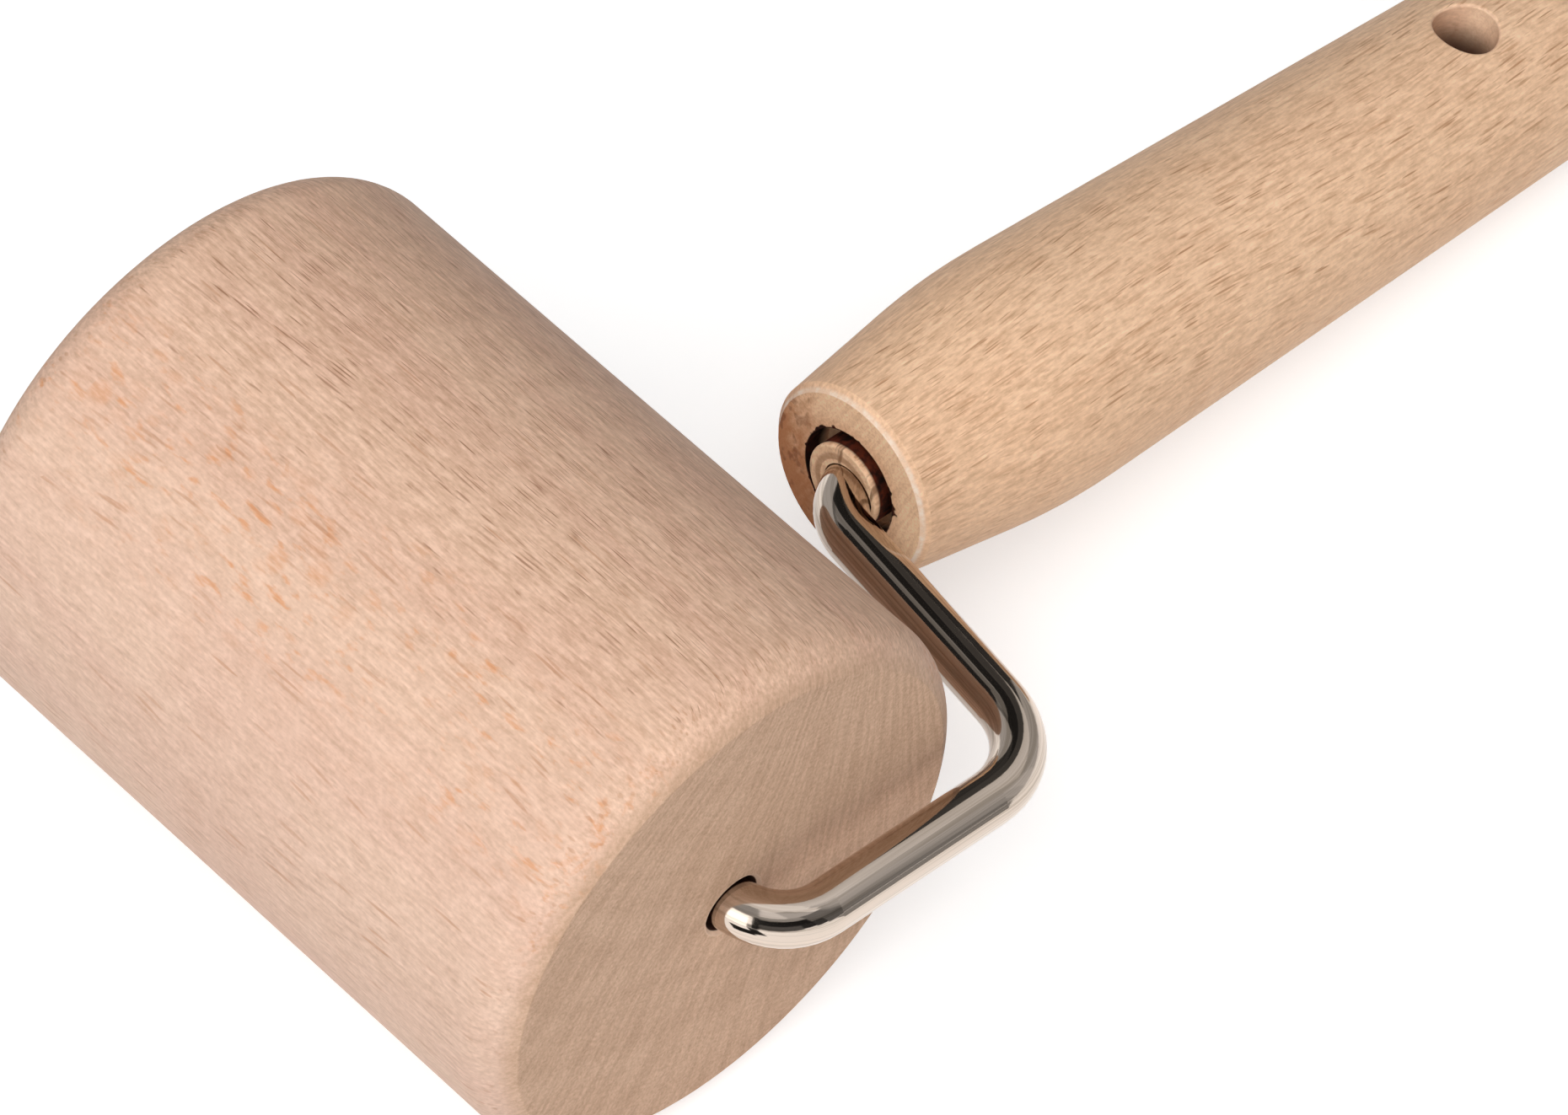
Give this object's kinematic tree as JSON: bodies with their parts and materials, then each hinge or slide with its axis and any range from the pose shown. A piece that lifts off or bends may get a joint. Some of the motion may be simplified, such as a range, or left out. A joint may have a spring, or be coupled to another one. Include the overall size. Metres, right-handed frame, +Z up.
{
  "type": "pastry roller",
  "caption": "One-handed wooden roller for pastry and dough: it spins on a bent plated wire arm held in a turned beech handle with a hanging hole.",
  "frame": {"origin": "middle of the tool's footprint, at table height, with the roller and the handle's butt resting on the table", "axes": "+X along the roller's axle towards the wire's side leg, +Y from the roller to the handle's butt, +Z up"},
  "size_m": [0.0856, 0.177, 0.06],
  "materials": {
    "roller_beech": "sanded, unvarnished beech, pale pinkish tan",
    "handle_beech": "turned and sanded beech, pale yellowish tan",
    "plug_beech": "cut beech dowel, end grain outwards",
    "bright_plated_wire": "bright nickel plate",
    "zinc_plated_steel": "zinc plated, satin"
  },
  "bodies": {
    "arm": {"wire_arm": "bright_plated_wire", "washer": "zinc_plated_steel", "lock_ring": "zinc_plated_steel", "handle": "handle_beech", "handle_plug": "plug_beech"},
    "roller": {"roller": "roller_beech", "roller_end_plug": "plug_beech"}
  },
  "joints": [
    {"name": "roller_spin", "type": "hinge", "parent": "arm", "child": "roller", "pos_m": [-0.00413, -0.0585, 0.03], "axis": [1, 0, 0], "continuous": true}
  ]
}
